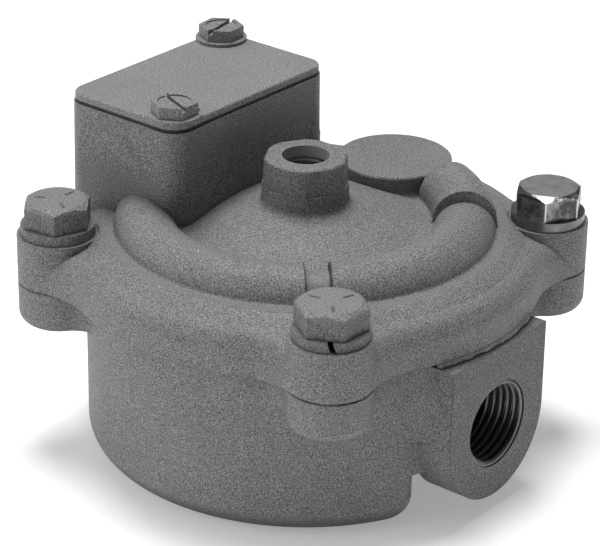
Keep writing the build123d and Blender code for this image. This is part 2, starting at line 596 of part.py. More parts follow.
def make_terminal_block():
    """Two-pole terminal block with a raised barrier at each end and between the poles."""
    base_top = BOX_WELL_Z + TERMINAL_BASE
    half_x = TERMINAL_WIDTH / 2
    half_y = TERMINAL_LENGTH / 2
    body = block((TERMINAL_X - half_x, TERMINAL_Y - half_y, BOX_WELL_Z),
                 (TERMINAL_X + half_x, TERMINAL_Y + half_y, base_top))
    end_y = half_y - TERMINAL_BARRIER / 2
    for y in (TERMINAL_Y - end_y, TERMINAL_Y, TERMINAL_Y + end_y):
        body += block((TERMINAL_X - half_x, y - TERMINAL_BARRIER / 2, base_top),
                      (TERMINAL_X + half_x, y + TERMINAL_BARRIER / 2, BOX_WELL_Z + TERMINAL_HEIGHT))
    return body - [post(TERMINAL_SCREW_R / 2 + THREAD_FIT, base_top - SMALL_SCREW_LENGTH, base_top,
                        TERMINAL_X, TERMINAL_Y + side * TERMINAL_PITCH / 2) for side in (-1, 1)]


def make_pan_screw(x, y, z, radius, head):
    """Small slotted pan-head screw, its shank in the hole below z."""
    top = post(radius, z, z + head, x, y)
    top = fillet(edges_at(top, z + head), head / 3)
    top = top - Pos(x, y, z + head) * Rot(0, 0, 30) * Box(3 * radius, radius / 4, head)
    return top + post(radius / 2, z - SMALL_SCREW_LENGTH, z, x, y)


# ---------------------------------------------------------------- valve works
def make_spring():
    """Return spring between the tower and the piston."""
    rise = PISTON_Z - TOWER_TOP_Z - 2 * SPRING_WIRE_R
    path = Helix(rise / SPRING_TURNS, rise, SPRING_R)
    start = path @ 0
    section = Plane(origin=start, z_dir=path % 0) * Circle(SPRING_WIRE_R)
    return Pos(0, 0, TOWER_TOP_Z + SPRING_WIRE_R) * sweep(section, path=path)


def make_stem():
    """Stem with a reduced, bored lower end for the seals and a reduced upper end for piston and nut."""
    stem = post(STEM_R, STEM_SHOULDER_Z, PISTON_Z)
    stem += post(SPIGOT_R, EXHAUST_SEAL_Z, STEM_SHOULDER_Z)
    stem += post(SPIGOT_R, PISTON_Z, NUT_TOP_Z)
    return stem - post(STEM_SCREW_R, EXHAUST_SEAL_Z, STEM_SHOULDER_Z)


def make_piston():
    """Piston with a groove for its seal."""
    piston = tube(CYLINDER_R - RUN, SPIGOT_R, PISTON_Z, PISTON_TOP_Z)
    groove_top = PISTON_GROOVE_Z + PISTON_GROOVE_HEIGHT
    return piston - tube(CYLINDER_R + OVERLAP, PISTON_GROOVE_R, PISTON_GROOVE_Z, groove_top)


def make_piston_seal():
    """Piston ring seal filling its groove."""
    groove_top = PISTON_GROOVE_Z + PISTON_GROOVE_HEIGHT
    return tube(CYLINDER_R - RUN / 2, PISTON_GROOVE_R, PISTON_GROOVE_Z, groove_top)


def make_inlet_seat():
    """Pressed seat ring with a tapered nose below the tower."""
    top_z = TOWER_BOTTOM_Z + INLET_SEAT_HEIGHT - INLET_NOSE
    return spun([(SEAT_INNER_R, INLET_NOSE_Z), (SEAT_NOSE_R, INLET_NOSE_Z),
                 (INLET_SEAT_R - INLET_SEAT_RIM, TOWER_BOTTOM_Z), (INLET_SEAT_R, TOWER_BOTTOM_Z),
                 (INLET_SEAT_R, top_z), (SEAT_INNER_R, top_z)])


def make_exhaust_seat():
    """Pressed seat ring with a tapered nose above the exhaust boss."""
    return spun([(SEAT_INNER_R, SUMP_FLOOR), (EXHAUST_SEAT_R, SUMP_FLOOR), (EXHAUST_SEAT_R, EXHAUST_BOSS_Z),
                 (SEAT_NOSE_R + EXHAUST_TAPER, EXHAUST_BOSS_Z), (SEAT_NOSE_R, EXHAUST_NOSE_Z),
                 (SEAT_INNER_R, EXHAUST_NOSE_Z)])


def make_guide():
    """Guide bushing in the tower, grooved inside for the stem's O-ring."""
    groove_z = (GUIDE_BOTTOM_Z + TOWER_TOP_Z) / 2 - GUIDE_GROOVE_HEIGHT / 2
    bushing = tube(GUIDE_R, STEM_R + RUN, GUIDE_BOTTOM_Z, TOWER_TOP_Z)
    return bushing - tube(GUIDE_GROOVE_R, STEM_R, groove_z, groove_z + GUIDE_GROOVE_HEIGHT)


def make_stem_oring():
    """O-ring in the guide bushing's groove."""
    middle_z = (GUIDE_BOTTOM_Z + TOWER_TOP_Z) / 2
    width = GUIDE_GROOVE_R - STEM_R - RUN
    section = RectangleRounded(width, GUIDE_GROOVE_HEIGHT, width / 3)
    return spun_face(Pos(STEM_R + RUN + width / 2, middle_z) * section)


def make_body_oring():
    """O-ring squeezed between sump body, cover spigot and cover."""
    inner_r = BOWL_TOP_R
    width = ORING_OUTER_R - inner_r
    height = PARTING_Z - ORING_SEAT_Z
    section = RectangleRounded(width, height, height / 3)
    return spun_face(Pos(inner_r + width / 2, ORING_SEAT_Z + height / 2) * section)


def make_stem_screw():
    """Retaining screw below the exhaust seal."""
    screw = post(STEM_SCREW_HEAD_R, EXHAUST_SEAL_Z - STEM_SCREW_HEAD, EXHAUST_SEAL_Z)
    slot = Box(3 * STEM_SCREW_HEAD_R, STEM_SCREW_SLOT, STEM_SCREW_HEAD)
    screw = screw - Pos(0, 0, EXHAUST_SEAL_Z - STEM_SCREW_HEAD) * slot
    return screw + post(STEM_SCREW_R, EXHAUST_SEAL_Z, STEM_SHOULDER_Z - TAP_RUNOUT)


# ---------------------------------------------------------------- assembly
def make_pieces():
    """Every piece of the valve by its node's name."""
    well_screw_z = BOX_WELL_Z + TERMINAL_BASE
    pieces = {
        "sump_body": make_sump_body(),
        "cover": make_cover(),
        "cover_bolts": Compound([make_bolt(x, y) for x, y in PAINTED_LUGS]),
        "cover_bolt_plated": make_bolt(*PLATED_LUG),
        "bolt_lock_washers": Compound([
            make_lock_washer(LOCK_OUTER_R, LOCK_INNER_R, LOCK_THICK, SEAT_Z, x, y, GAP_TURNS[(x, y)])
            for x, y in PAINTED_LUGS]),
        "lock_washer_plated": make_lock_washer(
            LOCK_OUTER_R, LOCK_INNER_R, LOCK_THICK, SEAT_Z, *PLATED_LUG, GAP_TURNS[PLATED_LUG]),
        "body_oring": make_body_oring(),
        "box_cover_plate": make_box_plate(),
        "box_gasket": make_box_gasket(),
        "plate_screws": Compound([
            make_plate_screw(x, y, SCREW_HEAD_TURNS[i], SLOT_TURNS[i])
            for i, (x, y) in enumerate(PLATE_SCREWS)]),
        "plate_lock_washers": Compound([
            make_lock_washer(SCREW_LOCK_R, SCREW_LOCK_INNER_R, SCREW_LOCK_THICK, BOX_TOP_Z, x, y,
                             SCREW_GAP_TURNS[i])
            for i, (x, y) in enumerate(PLATE_SCREWS)]),
        "piston": make_piston(),
        "piston_seal": make_piston_seal(),
        "piston_washer": tube(PISTON_WASHER_R, SPIGOT_R, PISTON_TOP_Z, PISTON_TOP_Z + PISTON_WASHER_THICK),
        "piston_nut": hex_prism(PISTON_NUT_FLATS, NUT_TOP_Z - PISTON_NUT_HEIGHT, NUT_TOP_Z, 0, 0, 0)
        - post(SPIGOT_R, NUT_TOP_Z - PISTON_NUT_HEIGHT, NUT_TOP_Z),
        "stem": make_stem(),
        "stem_oring": make_stem_oring(),
        "guide_bushing": make_guide(),
        "return_spring": make_spring(),
        "valve_head": tube(HEAD_R, SPIGOT_R, VALVE_HEAD_Z, INLET_SEAL_Z),
        "inlet_seal": tube(HEAD_R - INLET_SEAL_INSET, SPIGOT_R, INLET_SEAL_Z, STEM_SHOULDER_Z),
        "exhaust_seal": tube(HEAD_R - EXHAUST_SEAL_INSET, SPIGOT_R, EXHAUST_SEAL_Z, VALVE_HEAD_Z),
        "stem_screw": make_stem_screw(),
        "inlet_seat": make_inlet_seat(),
        "exhaust_seat": make_exhaust_seat(),
        "heater_element": ring_tube(RING_R, HEATER_R, HEATER_Z, HEATER_START, HEATER_END),
        "thermostat": post(THERMOSTAT_R, THERMOSTAT_POCKET_Z - THERMOSTAT_HEIGHT, THERMOSTAT_POCKET_Z,
                           PAD_X, PAD_Y),
        "thermostat_retainer": post(THERMOSTAT_R + PLUG_FIT, RECESS_TOP_Z, RECESS_TOP_Z + RETAINER_THICK,
                                    PAD_X, PAD_Y),
        "terminal_block": make_terminal_block(),
        "terminal_screws": Compound([
            make_pan_screw(TERMINAL_X, TERMINAL_Y + side * TERMINAL_PITCH / 2, well_screw_z,
                           TERMINAL_SCREW_R, TERMINAL_SCREW_HEAD) for side in (-1, 1)]),
        "ground_screw": make_pan_screw(TERMINAL_X, GROUND_SCREW_Y, BOX_WELL_Z, GROUND_SCREW_R,
                                       TERMINAL_SCREW_HEAD),
    }
    return pieces


os.makedirs("parts", exist_ok=True)
for name, shape in make_pieces().items():
    export_step(shape, "parts/" + name + ".step")
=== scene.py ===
import json
import math

import bpy
from mathutils import Matrix, Vector, noise


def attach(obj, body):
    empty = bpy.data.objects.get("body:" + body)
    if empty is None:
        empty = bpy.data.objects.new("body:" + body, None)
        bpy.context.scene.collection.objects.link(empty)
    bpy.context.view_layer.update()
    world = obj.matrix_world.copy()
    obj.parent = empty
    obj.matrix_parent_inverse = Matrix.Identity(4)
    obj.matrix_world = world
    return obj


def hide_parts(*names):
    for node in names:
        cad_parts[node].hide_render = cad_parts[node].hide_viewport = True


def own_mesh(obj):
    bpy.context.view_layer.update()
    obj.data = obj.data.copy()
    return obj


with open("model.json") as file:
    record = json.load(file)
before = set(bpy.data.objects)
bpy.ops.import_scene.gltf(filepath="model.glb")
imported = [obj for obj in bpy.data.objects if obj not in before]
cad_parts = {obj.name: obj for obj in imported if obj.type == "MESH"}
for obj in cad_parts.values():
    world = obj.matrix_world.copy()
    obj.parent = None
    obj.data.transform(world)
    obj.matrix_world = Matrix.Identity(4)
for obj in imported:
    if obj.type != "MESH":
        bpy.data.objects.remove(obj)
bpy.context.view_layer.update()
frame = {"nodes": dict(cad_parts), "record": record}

NODES = frame["nodes"]
MM = 0.001

# ---------------------------------------------------------------- camera
CAMERA_TARGET = Vector((-0.74, -0.60, 41.72)) * MM
CAMERA_DISTANCE = 619.1 * MM
CAMERA_AZIMUTH = 39.107
CAMERA_ELEVATION = 25.531
CAMERA_ROLL = 0.863
CAMERA_LENS = 159.11
SENSOR_WIDTH = 36.0


def add_camera():
    """The camera, aimed at the middle of the valve with a slight roll."""
    azimuth, elevation, roll = (math.radians(a) for a in (CAMERA_AZIMUTH, CAMERA_ELEVATION, CAMERA_ROLL))
    forward = Vector((-math.sin(azimuth) * math.cos(elevation),
                      math.cos(azimuth) * math.cos(elevation), -math.sin(elevation)))
    right = Vector((math.cos(azimuth), math.sin(azimuth), 0))
    up = right.cross(forward)
    rolled_right = math.cos(roll) * right + math.sin(roll) * up
    rolled_up = math.cos(roll) * up - math.sin(roll) * right
    data = bpy.data.cameras.new("camera")
    data.lens = CAMERA_LENS
    data.sensor_width = SENSOR_WIDTH
    camera = bpy.data.objects.new("camera", data)
    turn = Matrix((rolled_right, rolled_up, -forward)).transposed().to_4x4()
    camera.matrix_world = Matrix.Translation(CAMERA_TARGET - CAMERA_DISTANCE * forward) @ turn
    bpy.context.collection.objects.link(camera)
    bpy.context.scene.camera = camera


# ---------------------------------------------------------------- studio
FLOOR_SIZE = 12.0
FLOOR_SHADE = 0.93
FLOOR_GLOW = 0.30         # the floor is a light table
FLOOR_ROUGHNESS = 0.9
SURROUND_STRENGTH = 0.23
SURROUND_LEFT = 1.1       # the surround fades from this grey on the -X side
SURROUND_RIGHT = 0.40     # to this one on the +X side
SURROUND_FADE = (-0.6, 0.9)
LIGHTS = [                # name, place, size, watts
    ("top_light", (-0.15, 0.10, 1.25), 0.5, 13.5),
    ("front_light", (-0.75, -1.15, 0.7), 0.8, 4.2),
    ("left_light", (-1.2, -0.35, 0.6), 0.7, 1.0),
]
LIGHT_AIM = (0, 0, 0.04)


def add_studio():
    """A pale floor, an even surround and soft lights."""
    bpy.ops.mesh.primitive_plane_add(size=FLOOR_SIZE, location=(0, 0, 0))
    floor = bpy.context.object
    floor.name = "floor"
    material, shader = new_material("pale_floor")
    shader.inputs["Base Color"].default_value = grey(FLOOR_SHADE)
    shader.inputs["Roughness"].default_value = FLOOR_ROUGHNESS
    shader.inputs["Emission Color"].default_value = grey(1.0)
    shader.inputs["Emission Strength"].default_value = FLOOR_GLOW
    floor.data.materials.append(material)

    world = bpy.data.worlds.new("surround")
    world.use_nodes = True
    background = world.node_tree.nodes["Background"]
    background.inputs["Strength"].default_value = SURROUND_STRENGTH
    n = Nodes(world.node_tree)
    direction = n.split(n.add("ShaderNodeTexCoord").outputs["Generated"])
    fade = n.ramp(direction[0], *SURROUND_FADE)
    n.join(n.mix(fade, grey(SURROUND_LEFT), grey(SURROUND_RIGHT)), background.inputs["Color"])
    bpy.context.scene.world = world
    bpy.context.scene.view_settings.view_transform = "Standard"

    for name, place, size, watts in LIGHTS:
        data = bpy.data.lights.new(name, "AREA")
        data.energy = watts
        data.size = size
        light = bpy.data.objects.new(name, data)
        light.location = place
        light.rotation_euler = (Vector(LIGHT_AIM) - Vector(place)).to_track_quat("-Z", "Y").to_euler()
        bpy.context.collection.objects.link(light)


# ---------------------------------------------------------------- node helpers
class Nodes:
    """Short ways to add and join the nodes of one material."""

    def __init__(self, tree):
        self.tree = tree
        self.place = self.add("ShaderNodeTexCoord").outputs["Object"]

    def add(self, kind, **settings):
        node = self.tree.nodes.new(kind)
        for key, value in settings.items():
            setattr(node, key, value)
        return node

    def join(self, source, socket):
        if isinstance(source, bpy.types.NodeSocket):
            self.tree.links.new(source, socket)
        else:
            socket.default_value = source

    def math(self, operation, a, b=0.0, clamp=False):
        """One step of arithmetic on two sockets or numbers."""
        node = self.add("ShaderNodeMath", operation=operation, use_clamp=clamp)
        self.join(a, node.inputs[0])
        self.join(b, node.inputs[1])
        return node.outputs[0]

    def noise(self, size, detail=2.0, roughness=0.5, stretch=None):
        """Noise whose lumps are about size metres across."""
        node = self.add("ShaderNodeTexNoise")
        node.inputs["Scale"].default_value = 1.0 / size
        node.inputs["Detail"].default_value = detail
        node.inputs["Roughness"].default_value = roughness
        where = self.place
        if stretch is not None:
            mapping = self.add("ShaderNodeMapping")
            self.join(where, mapping.inputs["Vector"])
            mapping.inputs["Scale"].default_value = stretch
            where = mapping.outputs[0]
        self.join(where, node.inputs["Vector"])
        return node.outputs["Fac"]

    def ramp(self, value, low, high, low_out=0.0, high_out=1.0):
        """A smooth step from low_out at low to high_out at high."""
        node = self.add("ShaderNodeMapRange", interpolation_type="SMOOTHSTEP")
        self.join(value, node.inputs["Value"])
        for key, number in (("From Min", low), ("From Max", high), ("To Min", low_out), ("To Max", high_out)):
            node.inputs[key].default_value = number
        return node.outputs["Result"]

    def mix(self, factor, a, b):
        """Colour a where factor is 0, and b where it is 1."""
        node = self.add("ShaderNodeMix", data_type="RGBA")
        self.join(factor, node.inputs[0])
        self.join(a, node.inputs[6])
        self.join(b, node.inputs[7])
        return node.outputs[2]

    def bump(self, height, distance, strength=1.0, normal=None):
        node = self.add("ShaderNodeBump")
        node.inputs["Distance"].default_value = distance
        node.inputs["Strength"].default_value = strength
        self.join(height, node.inputs["Height"])
        if normal is not None:
            self.join(normal, node.inputs["Normal"])
        return node.outputs["Normal"]

    def split(self, vector):
        """The x, y and z of a vector socket."""
        node = self.add("ShaderNodeSeparateXYZ")
        self.join(vector, node.inputs[0])
        return node.outputs[0], node.outputs[1], node.outputs[2]

    def axes(self):
        return self.split(self.place)

    def length(self, a, b):
        """The length of the vector (a, b)."""
        return self.math("SQRT", self.math("ADD", self.math("MULTIPLY", a, a), self.math("MULTIPLY", b, b)))

    def near_surfaces(self, reach):
        """Openness from 0 to 1: how little stands within reach of a point."""
        node = self.add("ShaderNodeAmbientOcclusion", samples=8, only_local=False)
        node.inputs["Distance"].default_value = reach
        return node.outputs["AO"]


def new_material(name):
    """A material with its main shader."""
    material = bpy.data.materials.new(name)
    material.use_nodes = True
    return material, material.node_tree.nodes["Principled BSDF"]


def grey(value):
    return (value, value, value, 1)


# ---------------------------------------------------------------- materials
INLET_Z = 0.022
INLET_R = 0.0104
INLET_END_X = 0.03        # the inlet bore lies past this in x
CONTROL_R = 0.0056
CONTROL_END_Z = 0.056     # the control bore lies above this
BORE_MARGIN = 0.0001


def bore_mask(n, radius, across, centre, along, start):
    """1 inside a bore, 0 elsewhere. Its axis runs along one axis and passes centre in the other two."""
    axes = n.axes()
    offsets = [n.math("SUBTRACT", axes[a], c) for a, c in zip(across, centre)]
    near = n.math("LESS_THAN", n.length(*offsets), radius + BORE_MARGIN)
    deep = n.math("GREATER_THAN", axes[along], start)
    return n.math("MULTIPLY", near, deep)


LUG = 0.04025             # bolt circle's corner, in x and y
SEAM_Z = 0.0424
SEAM_REACH = 0.00022      # half the hairline's width
SEAM_SHADE = 0.08
SEAM_BREAKS = 0.006
SEAM_OPEN_X = (0.034, 0.044)    # the hairline grows over this stretch of x
SEAM_FILLED_X = (0.040, 0.030)  # and paint fills the joint over this one
SEAM_FILLED = 0.85


def seam_line(n, z, x):
    """Dark broken hairline where sump body and cover meet, strongest on the inlet side."""
    near = n.ramp(n.math("ABSOLUTE", n.math("SUBTRACT", z, SEAM_Z)), SEAM_REACH, SEAM_REACH * 0.4)
    broken = n.ramp(n.noise(SEAM_BREAKS, 2.0, 0.6), 0.38, 0.55)
    side = n.ramp(x, *SEAM_OPEN_X, 0.0, 0.9)
    return n.math("MULTIPLY", n.math("MULTIPLY", near, broken), side)


NOTCH_TURN = math.radians(-46.5)
NOTCH_HALF_WIDTH = 0.0028
NOTCH_NEAR_R = 0.0298
NOTCH_FAR_R = 0.0440
NOTCH_LOW_Z = 0.0565
NOTCH_FADE = 0.001
NOTCH_WALL_REACH = (0.00045, 0.00015)
NOTCH_FLOOR_EDGE = (0.0004, 0.0012)
# How strong the painted highlight on the notch's floor is
NOTCH_FLOOR_LIGHT = 0.4


def notch_masks(n, x, y, z):
    """Where the heater ring's notch has painted shade on its sides, and a painted highlight on its floor."""
    cos, sin = math.cos(NOTCH_TURN), math.sin(NOTCH_TURN)
    across = n.math("ADD", n.math("MULTIPLY", x, -sin), n.math("MULTIPLY", y, cos))
    along = n.math("ADD", n.math("MULTIPLY", x, cos), n.math("MULTIPLY", y, sin))
    across = n.math("ABSOLUTE", across)
    reach = n.math("MULTIPLY", n.ramp(along, NOTCH_NEAR_R, NOTCH_NEAR_R + NOTCH_FADE),
                   n.ramp(along, NOTCH_FAR_R, NOTCH_FAR_R - NOTCH_FADE))
    reach = n.math("MULTIPLY", reach, n.math("GREATER_THAN", z, NOTCH_LOW_Z))
    off_wall = n.math("ABSOLUTE", n.math("SUBTRACT", across, NOTCH_HALF_WIDTH))
    notch_wall_shade = n.math("MULTIPLY", n.ramp(off_wall, *NOTCH_WALL_REACH), reach)
    edges = [NOTCH_HALF_WIDTH - edge for edge in NOTCH_FLOOR_EDGE]
    notch_floor_highlight = n.math("MULTIPLY", n.ramp(across, *edges, 0.0, NOTCH_FLOOR_LIGHT), reach)
    return notch_wall_shade, notch_floor_highlight


MOTTLE_SIZE = 0.014       # sizes of the paint's lumps and grain
SAND_SIZE = 0.00075
SPECK_SIZE = 0.00026
SWELL_SIZE = 0.0035
PIT_SIZE = 0.0030
CREVICE_REACH = 0.0035    # how far from a corner the painted crevice shade goes
HOLLOW_REACH = 0.010
MOTTLE_SHADES = (0.91, 1.07)    # shares of the paint's shade
PALE_SPECK = 2.2
DARK_SPECK = 0.3
PIT_SHADE = 0.45
# The next two are tones of painted shade, in crevices and in recesses.
CREVICE_SHADOW_TONE = 0.25
HOLLOW_SHADOW_TONE = 0.4
# Tones of the notch's painted highlight on its floor and painted shade on its sides
NOTCH_FLOOR_HIGHLIGHT_TONE = 1.25
NOTCH_WALL_SHADOW_TONE = 0.3
SWELL_DEPTH = 0.00016     # heights that the bumps stand for
SAND_DEPTH = 0.00018
PIT_DEPTH = 0.00012
BARE_SHADE = 0.14
BARE_SHINE = 0.85
BARE_SMOOTHER = 0.15
PAINT_SPECULAR = 0.35

# These three are fitted to the photo's light. They are not differences in the real paint.
UNDERSIDE_DARKER = 0.50
PORT_FACE_DARKER = 0.27
HEAD_SIDE_DARKER = 0.25
UNDERSIDE_SLOPE = (-0.15, -0.80)
PORT_FACE_X = 0.0565
PORT_FACE_EDGE = (0.0006, 0.0002)
HEAD_SIDE_TOP = 0.0613
HEAD_SIDE_EDGE = 0.0004


def fitted_shading(n, paint, x, z, port_face, head_sides):
    """Darker paint on undersides, the inlet's face and bolt heads' sides, to match the photo's light."""
    black = grey(0.0)
    facing = n.split(n.add("ShaderNodeNewGeometry").outputs["Normal"])
    paint = n.mix(n.ramp(facing[2], *UNDERSIDE_SLOPE, 0.0, UNDERSIDE_DARKER), paint, black)
    if port_face:
        edges = [PORT_FACE_X - edge for edge in PORT_FACE_EDGE]
        paint = n.mix(n.ramp(x, *edges, 0.0, PORT_FACE_DARKER), paint, black)
    if head_sides:
        side = n.ramp(z, HEAD_SIDE_TOP, HEAD_SIDE_TOP - HEAD_SIDE_EDGE, 0.0, HEAD_SIDE_DARKER)
        paint = n.mix(side, paint, black)
    return paint


def painted_casting(name, shade, bores=(), seam=False, notch=False, crevice_shadow_amount=0.75, hollow_shadow=0.0,
                    bare_or_lit_bore=BARE_SHADE, shine=BARE_SHINE, port_face=False, head_sides=False):
    """Grey paint over sandcast metal: sand grain, mottling and a few pits, painted shade in crevices and
    recesses, and unpainted metal in bores or a paler tone there as painted light.
    """
    material, shader = new_material(name)
    n = Nodes(material.node_tree)
    mottle = n.noise(MOTTLE_SIZE, 3.0, 0.55)
    sand = n.noise(SAND_SIZE, 3.0, 0.65)
    speck = n.noise(SPECK_SIZE, 2.0, 0.65)
    swell = n.noise(SWELL_SIZE, 2.0, 0.5)
    pits = n.ramp(n.noise(PIT_SIZE, 1.0, 0.4), 0.225, 0.195)
    # Painted shade: the paint darkens in crevices, near close surfaces, where shade falls.
    crevice_shadow = n.ramp(n.near_surfaces(CREVICE_REACH), 0.62, 0.12, 0.0, crevice_shadow_amount)
    paint = n.mix(n.ramp(mottle, 0.3, 0.7), *(grey(shade * share) for share in MOTTLE_SHADES))
    paint = n.mix(n.ramp(speck, 0.48, 0.68), paint, grey(shade * PALE_SPECK))
    paint = n.mix(n.ramp(speck, 0.52, 0.32), paint, grey(shade * DARK_SPECK))
    paint = n.mix(n.math("MULTIPLY", pits, 0.4), paint, grey(shade * PIT_SHADE))
    x, y, z = n.axes()
    # Along the seam, away from the inlet side, the painted crevice shade is lifted where paint fills the
    # joint.
    if seam:
        off_seam = n.math("ABSOLUTE", n.math("SUBTRACT", z, SEAM_Z))
        seam_near = n.ramp(off_seam, SEAM_REACH * 4, SEAM_REACH * 2)
        filled = n.math("MULTIPLY", seam_near, n.ramp(x, *SEAM_FILLED_X, 0.0, SEAM_FILLED))
        crevice_shadow = n.math("MULTIPLY", crevice_shadow, n.math("SUBTRACT", 1.0, filled))
    paint = n.mix(crevice_shadow, paint, grey(shade * CREVICE_SHADOW_TONE))
    # Painted shade: broad darkening in recesses and under overhangs, where shade falls.
    if hollow_shadow:
        hollow = n.ramp(n.near_surfaces(HOLLOW_REACH), 0.85, 0.30, 0.0, hollow_shadow)
        paint = n.mix(hollow, paint, grey(shade * HOLLOW_SHADOW_TONE))
    paint = fitted_shading(n, paint, x, z, port_face, head_sides)
    rough = n.ramp(sand, 0.3, 0.7, 0.50, 0.66)
    normal = n.bump(swell, SWELL_DEPTH, 0.5)
    normal = n.bump(sand, SAND_DEPTH, 0.7, normal)
    normal = n.bump(pits, PIT_DEPTH, -0.4, normal)
    if seam:
        paint = n.mix(seam_line(n, z, x), paint, grey(shade * SEAM_SHADE))
    # Painted shade on the notch's sides and a painted highlight on its floor.
    if notch:
        notch_wall_shade, notch_floor_highlight = notch_masks(n, x, y, z)
        paint = n.mix(notch_floor_highlight, paint, grey(shade * NOTCH_FLOOR_HIGHLIGHT_TONE))
        paint = n.mix(notch_wall_shade, paint, grey(shade * NOTCH_WALL_SHADOW_TONE))
    metal = 0.0
    # Bores get dark unpainted metal, or a paler tone as painted light that lifts their shade.
    for bore in bores:
        mask = bore_mask(n, *bore)
        paint = n.mix(mask, paint, grey(bare_or_lit_bore))
        rough = n.math("SUBTRACT", rough, n.math("MULTIPLY", mask, BARE_SMOOTHER))
        metal = n.math("ADD", metal, n.math("MULTIPLY", mask, shine), clamp=True)
    n.join(paint, shader.inputs["Base Color"])
    n.join(rough, shader.inputs["Roughness"])
    if bores:
        n.join(metal, shader.inputs["Metallic"])
    n.join(normal, shader.inputs["Normal"])
    shader.inputs["Specular IOR Level"].default_value = PAINT_SPECULAR
    return material


def bright_metal(name, shade, roughness, grain_stretch=(1, 1, 8), tint=(1, 1, 1)):
    """Bare or plated metal with fine drawn grain, faint stains and uneven gloss."""
    material, shader = new_material(name)
    n = Nodes(material.node_tree)
    stain = n.noise(0.005, 4.0, 0.6)
    grain = n.noise(0.0006, 2.0, 0.5, grain_stretch)
    light = tuple(shade * t for t in tint) + (1,)
    dark = tuple(0.62 * shade * t for t in tint) + (1,)
    n.join(n.mix(n.ramp(stain, 0.35, 0.75), light, dark), shader.inputs["Base Color"])
    gloss = n.ramp(n.math("ADD", grain, stain), 0.6, 1.4, roughness * 0.75, roughness * 1.5)
    n.join(gloss, shader.inputs["Roughness"])
    n.join(n.bump(grain, 0.00004, 0.5), shader.inputs["Normal"])
    shader.inputs["Metallic"].default_value = 1.0
    return material


HEAD_TOP_R = 0.0066
HEAD_CORNER_R = 0.00825
CORNER_EDGE = (0.00022, 0.00006)
RIM_EDGE = 0.0001
PLATED_SIDE_EDGE = 0.0002


def plated_bolt(name):
    """Zinc plate: dull grey scratched top, a stained chamfer painted bright as a highlight, corners painted
    bright as glints, and sides painted dark as shade, with stains.
    """
    material, shader = new_material(name)
    n = Nodes(material.node_tree)
    x, y, z = n.axes()
    radius = n.length(n.math("SUBTRACT", x, LUG), n.math("SUBTRACT", y, LUG))
    stain = n.noise(0.0035, 4.0, 0.65)
    scratch = n.ramp(n.noise(0.0018, 3.0, 0.6, (1, 6, 1)), 0.60, 0.68)
    low = n.ramp(z, HEAD_SIDE_TOP, HEAD_SIDE_TOP - PLATED_SIDE_EDGE)
    corner = n.ramp(radius, *(HEAD_CORNER_R - edge for edge in CORNER_EDGE))
    chamfer_highlight = n.ramp(radius, HEAD_TOP_R - RIM_EDGE, HEAD_TOP_R + RIM_EDGE)
    top = n.mix(n.ramp(stain, 0.4, 0.7), grey(0.86), grey(0.46))
    top = n.mix(scratch, top, grey(0.25))
    # Painted shade: the head's sides are painted dark, with stains; the corners are painted bright as glints.
    side = n.mix(n.ramp(stain, 0.38, 0.62), grey(0.34), grey(0.10))
    side = n.mix(corner, side, grey(0.75))
    # Painted highlight: the chamfer is painted bright, broken by stains.
    colour = n.mix(chamfer_highlight, top, n.mix(n.ramp(stain, 0.36, 0.50), grey(0.80), grey(0.16)))
    colour = n.mix(low, colour, side)
    n.join(colour, shader.inputs["Base Color"])
    gloss = n.math("ADD", n.ramp(stain, 0.3, 0.7, 0.20, 0.34), n.math("MULTIPLY", low, 0.2))
    n.join(gloss, shader.inputs["Roughness"])
    n.join(n.bump(n.noise(0.0009, 3.0, 0.6), 0.00009, 0.7), shader.inputs["Normal"])
    shader.inputs["Metallic"].default_value = 1.0
    return material


def soft_material(name, shade, roughness, grain_size, depth, tint=(1, 1, 1)):
    """Rubber, gasket sheet or moulded plastic with a fine matt grain."""
    material, shader = new_material(name)
    n = Nodes(material.node_tree)
    grain = n.noise(grain_size, 3.0, 0.6)
    bloom = n.noise(0.006, 3.0, 0.5)
    light = tuple(1.5 * shade * t for t in tint) + (1,)
    dark = tuple(0.8 * shade * t for t in tint) + (1,)
    n.join(n.mix(n.ramp(bloom, 0.3, 0.7), dark, light), shader.inputs["Base Color"])
    n.join(n.ramp(grain, 0.3, 0.7, roughness - 0.1, roughness + 0.1), shader.inputs["Roughness"])
    n.join(n.bump(grain, depth, 0.6), shader.inputs["Normal"])
    return material


